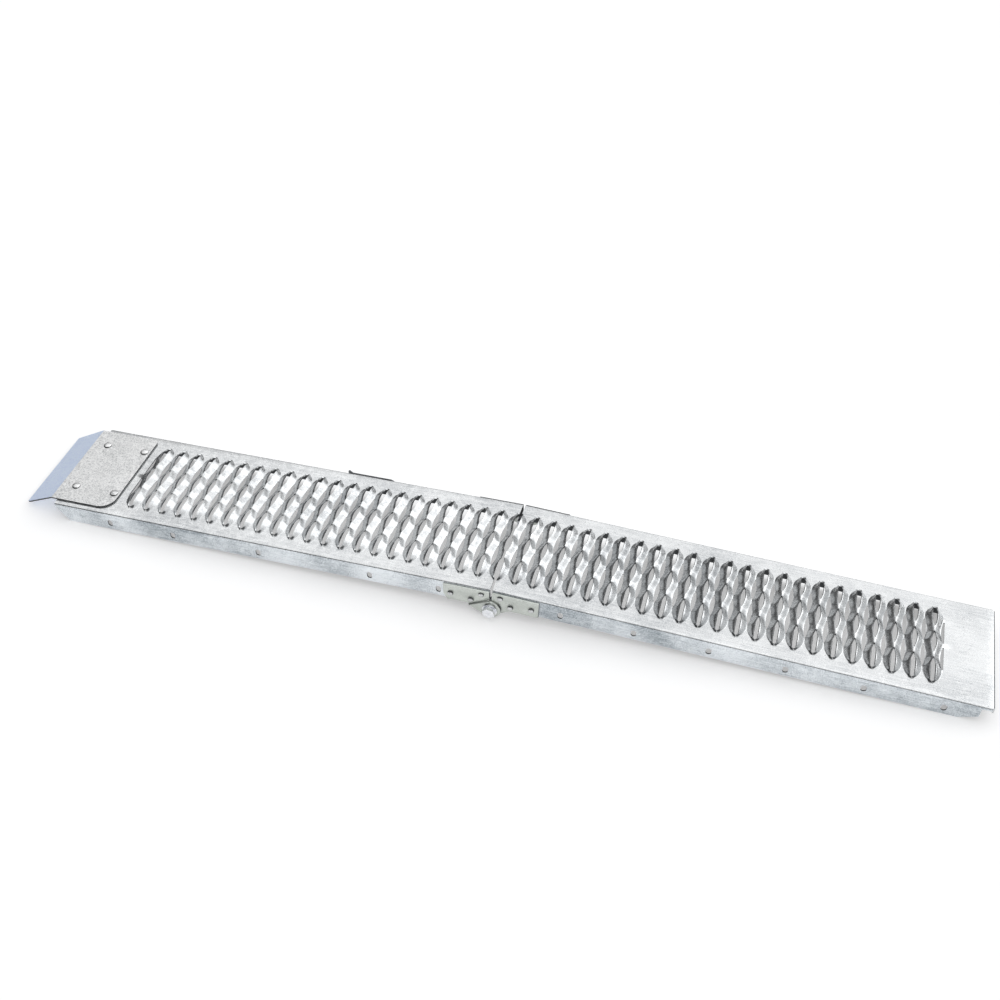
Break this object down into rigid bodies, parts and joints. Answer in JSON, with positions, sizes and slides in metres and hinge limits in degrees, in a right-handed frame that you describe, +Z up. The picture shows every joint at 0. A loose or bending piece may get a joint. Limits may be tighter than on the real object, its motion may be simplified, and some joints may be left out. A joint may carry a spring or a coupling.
{
  "type": "folding loading ramp",
  "caption": "Folding steel loading ramp: two perforated deck channels joined by riveted side hinges, with a bolted, bent tongue at the top and a swing latch.",
  "frame": {"origin": "on the floor under the middle of the whole ramp at rest, standing on its two ends and its hinge lugs", "axes": "+X runs down the ramp, from the tongue end to the ground end; +Y is across, from the near side to the side with the latch; +Z is up"},
  "size_m": [1.5706, 0.2344, 0.0619],
  "materials": {
    "galvanised_sheet": "hot-dip galvanised, light grey with a fine spangle",
    "galvanised_plate": "galvanised plate, smooth and a little greener grey",
    "zinc_plated": "bright zinc plate",
    "rivet_steel": "dull zinc plate, worn on the heads",
    "dark_steel": "dark oiled steel"
  },
  "bodies": {
    "upper_half": {"upper_deck_channel": "galvanised_sheet", "tongue_plate": "galvanised_plate", "tongue_bolt_1": "zinc_plated", "tongue_bolt_2": "zinc_plated", "tongue_bolt_3": "zinc_plated", "tongue_bolt_4": "zinc_plated", "tongue_washer_1": "zinc_plated", "tongue_washer_2": "zinc_plated", "tongue_washer_3": "zinc_plated", "tongue_washer_4": "zinc_plated", "tongue_nut_1": "zinc_plated", "tongue_nut_2": "zinc_plated", "tongue_nut_3": "zinc_plated", "tongue_nut_4": "zinc_plated", "near_upper_hinge_plate": "galvanised_plate", "near_upper_rivet_1": "rivet_steel", "near_upper_rivet_2": "rivet_steel", "near_upper_rivet_3": "rivet_steel", "near_pivot_bolt": "zinc_plated", "near_pivot_outer_washer": "zinc_plated", "near_pivot_bush": "rivet_steel", "near_pivot_inner_washer": "zinc_plated", "near_pivot_lock_nut": "zinc_plated", "far_upper_hinge_plate": "galvanised_plate", "far_upper_rivet_1": "rivet_steel", "far_upper_rivet_2": "rivet_steel", "far_upper_rivet_3": "rivet_steel", "far_pivot_bolt": "zinc_plated", "far_pivot_outer_washer": "zinc_plated", "far_pivot_bush": "rivet_steel", "far_pivot_inner_washer": "zinc_plated", "far_pivot_lock_nut": "zinc_plated", "latch_pivot_rivet": "rivet_steel"},
    "lower_half": {"lower_deck_channel": "galvanised_sheet", "near_lower_hinge_plate": "galvanised_plate", "far_lower_hinge_plate": "galvanised_plate", "near_lower_rivet_1": "rivet_steel", "near_lower_rivet_2": "rivet_steel", "near_lower_rivet_3": "rivet_steel", "far_lower_rivet_1": "rivet_steel", "far_lower_rivet_2": "rivet_steel", "far_lower_rivet_3": "rivet_steel", "latch_catch_stud": "rivet_steel"},
    "latch": {"transport_latch": "dark_steel"}
  },
  "joints": [
    {"name": "ramp_fold", "type": "hinge", "parent": "upper_half", "child": "lower_half", "pos_m": [0.03668, 0, 0.017], "axis": [0, 1, 0], "range_deg": [-3.11, 176.9]},
    {"name": "latch_swing", "type": "hinge", "parent": "upper_half", "child": "latch", "pos_m": [-0.19792, 0.1015, 0.03628], "axis": [0, -1, 0], "range_deg": [0, 90]}
  ]
}
